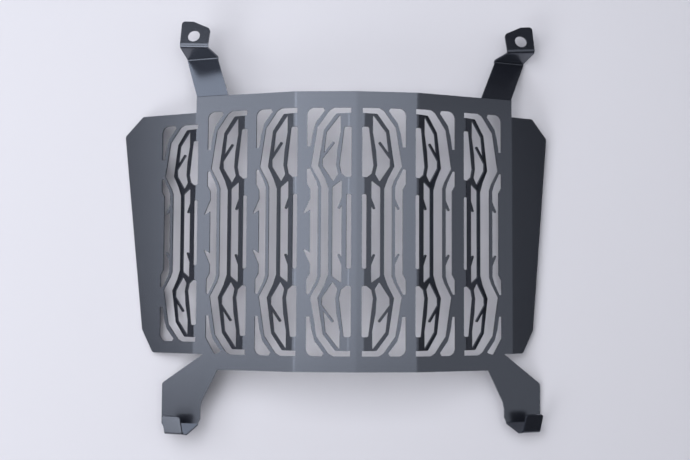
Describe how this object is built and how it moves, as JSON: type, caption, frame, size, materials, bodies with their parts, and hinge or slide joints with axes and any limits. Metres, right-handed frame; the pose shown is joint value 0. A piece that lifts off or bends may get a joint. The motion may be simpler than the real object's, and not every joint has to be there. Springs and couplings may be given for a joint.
{
  "type": "motorcycle radiator guard",
  "caption": "Folded, laser cut sheet guard that covers a motorcycle radiator, with branch shaped fins, stepped mounting tabs above and folded hooks below.",
  "frame": {"origin": "middle of the bounding box, on the surface that the guard lies on", "axes": "+X across the guard to its narrower plain wing, +Y up the guard to its mounting tabs, +Z out of its front, away from the surface"},
  "size_m": [0.3606, 0.3448, 0.0641],
  "materials": {
    "powder_coat": "satin powder coat, slightly blue dark grey"
  },
  "bodies": {
    "root": {"radiator_guard": "powder_coat"}
  },
  "joints": []
}
